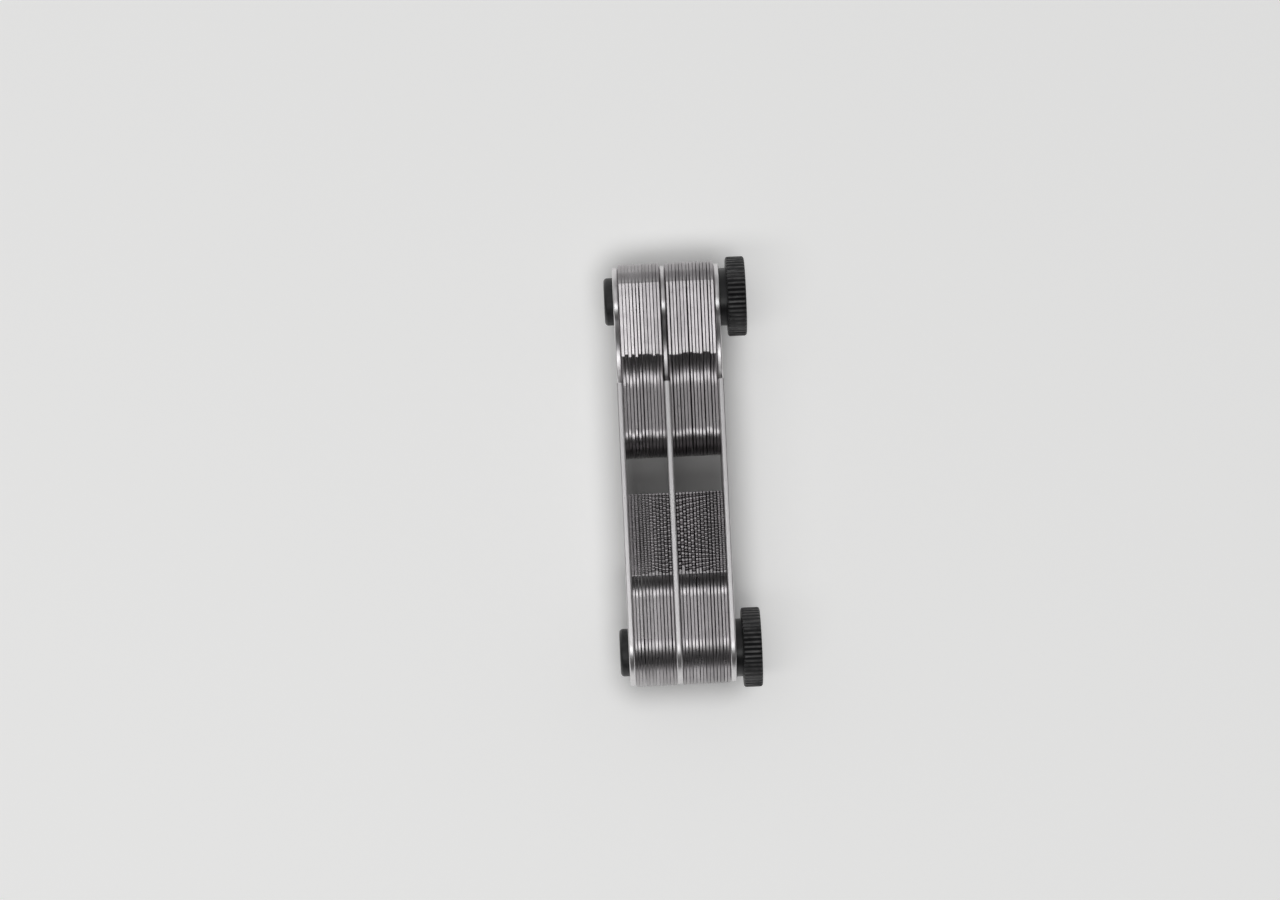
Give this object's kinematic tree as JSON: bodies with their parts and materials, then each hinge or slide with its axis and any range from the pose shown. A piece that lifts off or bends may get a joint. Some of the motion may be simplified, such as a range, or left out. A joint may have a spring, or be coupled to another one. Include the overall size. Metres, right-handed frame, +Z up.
{
  "type": "thread pitch gauge",
  "caption": "Pocket thread pitch gauge: toothed steel blades fold out from both ends of a notched steel frame and are clamped by black knurled nuts.",
  "frame": {"origin": "on the surface that the strips' lower edges rest on, under the middle of the gauge's box", "axes": "+X along the pivot screws from the heads to the nuts, +Y along the gauge to its coarse-pitch end, +Z up from the surface that it rests on"},
  "size_m": [0.0274, 0.0834, 0.017],
  "materials": {
    "blade_steel": "satin ground",
    "strip_steel": "satin plated",
    "black_oxide": "blackened, semi-gloss"
  },
  "bodies": {
    "frame": {"cheek_strip_left": "strip_steel", "centre_strip": "strip_steel", "cheek_strip_right": "strip_steel", "pivot_screw_lower": "black_oxide", "pivot_screw_upper": "black_oxide"},
    "blade_metric_0_25": {"blade_metric_0_25": "blade_steel"},
    "blade_metric_0_3": {"blade_metric_0_3": "blade_steel"},
    "blade_metric_0_35": {"blade_metric_0_35": "blade_steel"},
    "blade_metric_0_4": {"blade_metric_0_4": "blade_steel"},
    "blade_metric_0_45": {"blade_metric_0_45": "blade_steel"},
    "blade_metric_0_5": {"blade_metric_0_5": "blade_steel"},
    "blade_metric_0_6": {"blade_metric_0_6": "blade_steel"},
    "blade_metric_0_7": {"blade_metric_0_7": "blade_steel"},
    "blade_metric_0_75": {"blade_metric_0_75": "blade_steel"},
    "blade_metric_0_8": {"blade_metric_0_8": "blade_steel"},
    "blade_metric_0_9": {"blade_metric_0_9": "blade_steel"},
    "blade_metric_1": {"blade_metric_1": "blade_steel"},
    "blade_inch_19": {"blade_inch_19": "blade_steel"},
    "blade_inch_20": {"blade_inch_20": "blade_steel"},
    "blade_inch_22": {"blade_inch_22": "blade_steel"},
    "blade_inch_24": {"blade_inch_24": "blade_steel"},
    "blade_inch_25": {"blade_inch_25": "blade_steel"},
    "blade_inch_26": {"blade_inch_26": "blade_steel"},
    "blade_inch_28": {"blade_inch_28": "blade_steel"},
    "blade_inch_30": {"blade_inch_30": "blade_steel"},
    "blade_inch_32": {"blade_inch_32": "blade_steel"},
    "blade_inch_36": {"blade_inch_36": "blade_steel"},
    "blade_inch_40": {"blade_inch_40": "blade_steel"},
    "blade_inch_48": {"blade_inch_48": "blade_steel"},
    "blade_inch_60": {"blade_inch_60": "blade_steel"},
    "blade_inch_62": {"blade_inch_62": "blade_steel"},
    "clamp_nut_lower": {"clamp_nut_lower": "black_oxide"},
    "blade_metric_1_25": {"blade_metric_1_25": "blade_steel"},
    "blade_metric_1_5": {"blade_metric_1_5": "blade_steel"},
    "blade_metric_1_75": {"blade_metric_1_75": "blade_steel"},
    "blade_metric_2": {"blade_metric_2": "blade_steel"},
    "blade_metric_2_5": {"blade_metric_2_5": "blade_steel"},
    "blade_metric_3": {"blade_metric_3": "blade_steel"},
    "blade_metric_3_5": {"blade_metric_3_5": "blade_steel"},
    "blade_metric_4": {"blade_metric_4": "blade_steel"},
    "blade_metric_4_5": {"blade_metric_4_5": "blade_steel"},
    "blade_metric_5": {"blade_metric_5": "blade_steel"},
    "blade_metric_5_5": {"blade_metric_5_5": "blade_steel"},
    "blade_metric_6": {"blade_metric_6": "blade_steel"},
    "blade_inch_4": {"blade_inch_4": "blade_steel"},
    "blade_inch_4_5": {"blade_inch_4_5": "blade_steel"},
    "blade_inch_5": {"blade_inch_5": "blade_steel"},
    "blade_inch_6": {"blade_inch_6": "blade_steel"},
    "blade_inch_7": {"blade_inch_7": "blade_steel"},
    "blade_inch_8": {"blade_inch_8": "blade_steel"},
    "blade_inch_9": {"blade_inch_9": "blade_steel"},
    "blade_inch_10": {"blade_inch_10": "blade_steel"},
    "blade_inch_11": {"blade_inch_11": "blade_steel"},
    "blade_inch_12": {"blade_inch_12": "blade_steel"},
    "blade_inch_13": {"blade_inch_13": "blade_steel"},
    "blade_inch_14": {"blade_inch_14": "blade_steel"},
    "blade_inch_16": {"blade_inch_16": "blade_steel"},
    "blade_inch_18": {"blade_inch_18": "blade_steel"},
    "clamp_nut_upper": {"clamp_nut_upper": "black_oxide"}
  },
  "joints": [
    {"name": "blade_metric_0_25_pivot", "type": "hinge", "parent": "frame", "child": "blade_metric_0_25", "pos_m": [0, -0.034, 0.0085], "axis": [1, 0, 0], "range_deg": [0, 180]},
    {"name": "blade_metric_0_3_pivot", "type": "hinge", "parent": "frame", "child": "blade_metric_0_3", "pos_m": [0, -0.034, 0.0085], "axis": [1, 0, 0], "range_deg": [0, 180]},
    {"name": "blade_metric_0_35_pivot", "type": "hinge", "parent": "frame", "child": "blade_metric_0_35", "pos_m": [0, -0.034, 0.0085], "axis": [1, 0, 0], "range_deg": [0, 180]},
    {"name": "blade_metric_0_4_pivot", "type": "hinge", "parent": "frame", "child": "blade_metric_0_4", "pos_m": [0, -0.034, 0.0085], "axis": [1, 0, 0], "range_deg": [0, 180]},
    {"name": "blade_metric_0_45_pivot", "type": "hinge", "parent": "frame", "child": "blade_metric_0_45", "pos_m": [0, -0.034, 0.0085], "axis": [1, 0, 0], "range_deg": [0, 180]},
    {"name": "blade_metric_0_5_pivot", "type": "hinge", "parent": "frame", "child": "blade_metric_0_5", "pos_m": [0, -0.034, 0.0085], "axis": [1, 0, 0], "range_deg": [0, 180]},
    {"name": "blade_metric_0_6_pivot", "type": "hinge", "parent": "frame", "child": "blade_metric_0_6", "pos_m": [0, -0.034, 0.0085], "axis": [1, 0, 0], "range_deg": [0, 180]},
    {"name": "blade_metric_0_7_pivot", "type": "hinge", "parent": "frame", "child": "blade_metric_0_7", "pos_m": [0, -0.034, 0.0085], "axis": [1, 0, 0], "range_deg": [0, 180]},
    {"name": "blade_metric_0_75_pivot", "type": "hinge", "parent": "frame", "child": "blade_metric_0_75", "pos_m": [0, -0.034, 0.0085], "axis": [1, 0, 0], "range_deg": [0, 180]},
    {"name": "blade_metric_0_8_pivot", "type": "hinge", "parent": "frame", "child": "blade_metric_0_8", "pos_m": [0, -0.034, 0.0085], "axis": [1, 0, 0], "range_deg": [0, 180]},
    {"name": "blade_metric_0_9_pivot", "type": "hinge", "parent": "frame", "child": "blade_metric_0_9", "pos_m": [0, -0.034, 0.0085], "axis": [1, 0, 0], "range_deg": [0, 180]},
    {"name": "blade_metric_1_pivot", "type": "hinge", "parent": "frame", "child": "blade_metric_1", "pos_m": [0, -0.034, 0.0085], "axis": [1, 0, 0], "range_deg": [0, 180]},
    {"name": "blade_inch_19_pivot", "type": "hinge", "parent": "frame", "child": "blade_inch_19", "pos_m": [0, -0.034, 0.0085], "axis": [1, 0, 0], "range_deg": [0, 180]},
    {"name": "blade_inch_20_pivot", "type": "hinge", "parent": "frame", "child": "blade_inch_20", "pos_m": [0, -0.034, 0.0085], "axis": [1, 0, 0], "range_deg": [0, 180]},
    {"name": "blade_inch_22_pivot", "type": "hinge", "parent": "frame", "child": "blade_inch_22", "pos_m": [0, -0.034, 0.0085], "axis": [1, 0, 0], "range_deg": [0, 180]},
    {"name": "blade_inch_24_pivot", "type": "hinge", "parent": "frame", "child": "blade_inch_24", "pos_m": [0, -0.034, 0.0085], "axis": [1, 0, 0], "range_deg": [0, 180]},
    {"name": "blade_inch_25_pivot", "type": "hinge", "parent": "frame", "child": "blade_inch_25", "pos_m": [0, -0.034, 0.0085], "axis": [1, 0, 0], "range_deg": [0, 180]},
    {"name": "blade_inch_26_pivot", "type": "hinge", "parent": "frame", "child": "blade_inch_26", "pos_m": [0, -0.034, 0.0085], "axis": [1, 0, 0], "range_deg": [0, 180]},
    {"name": "blade_inch_28_pivot", "type": "hinge", "parent": "frame", "child": "blade_inch_28", "pos_m": [0, -0.034, 0.0085], "axis": [1, 0, 0], "range_deg": [0, 180]},
    {"name": "blade_inch_30_pivot", "type": "hinge", "parent": "frame", "child": "blade_inch_30", "pos_m": [0, -0.034, 0.0085], "axis": [1, 0, 0], "range_deg": [0, 180]},
    {"name": "blade_inch_32_pivot", "type": "hinge", "parent": "frame", "child": "blade_inch_32", "pos_m": [0, -0.034, 0.0085], "axis": [1, 0, 0], "range_deg": [0, 180]},
    {"name": "blade_inch_36_pivot", "type": "hinge", "parent": "frame", "child": "blade_inch_36", "pos_m": [0, -0.034, 0.0085], "axis": [1, 0, 0], "range_deg": [0, 180]},
    {"name": "blade_inch_40_pivot", "type": "hinge", "parent": "frame", "child": "blade_inch_40", "pos_m": [0, -0.034, 0.0085], "axis": [1, 0, 0], "range_deg": [0, 180]},
    {"name": "blade_inch_48_pivot", "type": "hinge", "parent": "frame", "child": "blade_inch_48", "pos_m": [0, -0.034, 0.0085], "axis": [1, 0, 0], "range_deg": [0, 180]},
    {"name": "blade_inch_60_pivot", "type": "hinge", "parent": "frame", "child": "blade_inch_60", "pos_m": [0, -0.034, 0.0085], "axis": [1, 0, 0], "range_deg": [0, 180]},
    {"name": "blade_inch_62_pivot", "type": "hinge", "parent": "frame", "child": "blade_inch_62", "pos_m": [0, -0.034, 0.0085], "axis": [1, 0, 0], "range_deg": [0, 180]},
    {"name": "clamp_nut_lower_turn", "type": "hinge", "parent": "frame", "child": "clamp_nut_lower", "pos_m": [0.01116, -0.034, 0.0085], "axis": [1, 0, 0], "range_deg": [0, 360]},
    {"name": "blade_metric_1_25_pivot", "type": "hinge", "parent": "frame", "child": "blade_metric_1_25", "pos_m": [0, 0.034, 0.0085], "axis": [1, 0, 0], "range_deg": [0, 180]},
    {"name": "blade_metric_1_5_pivot", "type": "hinge", "parent": "frame", "child": "blade_metric_1_5", "pos_m": [0, 0.034, 0.0085], "axis": [1, 0, 0], "range_deg": [0, 180]},
    {"name": "blade_metric_1_75_pivot", "type": "hinge", "parent": "frame", "child": "blade_metric_1_75", "pos_m": [0, 0.034, 0.0085], "axis": [1, 0, 0], "range_deg": [0, 180]},
    {"name": "blade_metric_2_pivot", "type": "hinge", "parent": "frame", "child": "blade_metric_2", "pos_m": [0, 0.034, 0.0085], "axis": [1, 0, 0], "range_deg": [0, 180]},
    {"name": "blade_metric_2_5_pivot", "type": "hinge", "parent": "frame", "child": "blade_metric_2_5", "pos_m": [0, 0.034, 0.0085], "axis": [1, 0, 0], "range_deg": [0, 180]},
    {"name": "blade_metric_3_pivot", "type": "hinge", "parent": "frame", "child": "blade_metric_3", "pos_m": [0, 0.034, 0.0085], "axis": [1, 0, 0], "range_deg": [0, 180]},
    {"name": "blade_metric_3_5_pivot", "type": "hinge", "parent": "frame", "child": "blade_metric_3_5", "pos_m": [0, 0.034, 0.0085], "axis": [1, 0, 0], "range_deg": [0, 180]},
    {"name": "blade_metric_4_pivot", "type": "hinge", "parent": "frame", "child": "blade_metric_4", "pos_m": [0, 0.034, 0.0085], "axis": [1, 0, 0], "range_deg": [0, 180]},
    {"name": "blade_metric_4_5_pivot", "type": "hinge", "parent": "frame", "child": "blade_metric_4_5", "pos_m": [0, 0.034, 0.0085], "axis": [1, 0, 0], "range_deg": [0, 180]},
    {"name": "blade_metric_5_pivot", "type": "hinge", "parent": "frame", "child": "blade_metric_5", "pos_m": [0, 0.034, 0.0085], "axis": [1, 0, 0], "range_deg": [0, 180]},
    {"name": "blade_metric_5_5_pivot", "type": "hinge", "parent": "frame", "child": "blade_metric_5_5", "pos_m": [0, 0.034, 0.0085], "axis": [1, 0, 0], "range_deg": [0, 180]},
    {"name": "blade_metric_6_pivot", "type": "hinge", "parent": "frame", "child": "blade_metric_6", "pos_m": [0, 0.034, 0.0085], "axis": [1, 0, 0], "range_deg": [0, 180]},
    {"name": "blade_inch_4_pivot", "type": "hinge", "parent": "frame", "child": "blade_inch_4", "pos_m": [0, 0.034, 0.0085], "axis": [1, 0, 0], "range_deg": [0, 180]},
    {"name": "blade_inch_4_5_pivot", "type": "hinge", "parent": "frame", "child": "blade_inch_4_5", "pos_m": [0, 0.034, 0.0085], "axis": [1, 0, 0], "range_deg": [0, 180]},
    {"name": "blade_inch_5_pivot", "type": "hinge", "parent": "frame", "child": "blade_inch_5", "pos_m": [0, 0.034, 0.0085], "axis": [1, 0, 0], "range_deg": [0, 180]},
    {"name": "blade_inch_6_pivot", "type": "hinge", "parent": "frame", "child": "blade_inch_6", "pos_m": [0, 0.034, 0.0085], "axis": [1, 0, 0], "range_deg": [0, 180]},
    {"name": "blade_inch_7_pivot", "type": "hinge", "parent": "frame", "child": "blade_inch_7", "pos_m": [0, 0.034, 0.0085], "axis": [1, 0, 0], "range_deg": [0, 180]},
    {"name": "blade_inch_8_pivot", "type": "hinge", "parent": "frame", "child": "blade_inch_8", "pos_m": [0, 0.034, 0.0085], "axis": [1, 0, 0], "range_deg": [0, 180]},
    {"name": "blade_inch_9_pivot", "type": "hinge", "parent": "frame", "child": "blade_inch_9", "pos_m": [0, 0.034, 0.0085], "axis": [1, 0, 0], "range_deg": [0, 180]},
    {"name": "blade_inch_10_pivot", "type": "hinge", "parent": "frame", "child": "blade_inch_10", "pos_m": [0, 0.034, 0.0085], "axis": [1, 0, 0], "range_deg": [0, 180]},
    {"name": "blade_inch_11_pivot", "type": "hinge", "parent": "frame", "child": "blade_inch_11", "pos_m": [0, 0.034, 0.0085], "axis": [1, 0, 0], "range_deg": [0, 180]},
    {"name": "blade_inch_12_pivot", "type": "hinge", "parent": "frame", "child": "blade_inch_12", "pos_m": [0, 0.034, 0.0085], "axis": [1, 0, 0], "range_deg": [0, 180]},
    {"name": "blade_inch_13_pivot", "type": "hinge", "parent": "frame", "child": "blade_inch_13", "pos_m": [0, 0.034, 0.0085], "axis": [1, 0, 0], "range_deg": [0, 180]},
    {"name": "blade_inch_14_pivot", "type": "hinge", "parent": "frame", "child": "blade_inch_14", "pos_m": [0, 0.034, 0.0085], "axis": [1, 0, 0], "range_deg": [0, 180]},
    {"name": "blade_inch_16_pivot", "type": "hinge", "parent": "frame", "child": "blade_inch_16", "pos_m": [0, 0.034, 0.0085], "axis": [1, 0, 0], "range_deg": [0, 180]},
    {"name": "blade_inch_18_pivot", "type": "hinge", "parent": "frame", "child": "blade_inch_18", "pos_m": [0, 0.034, 0.0085], "axis": [1, 0, 0], "range_deg": [0, 180]},
    {"name": "clamp_nut_upper_turn", "type": "hinge", "parent": "frame", "child": "clamp_nut_upper", "pos_m": [0.01116, 0.034, 0.0085], "axis": [1, 0, 0], "range_deg": [0, 360]}
  ]
}
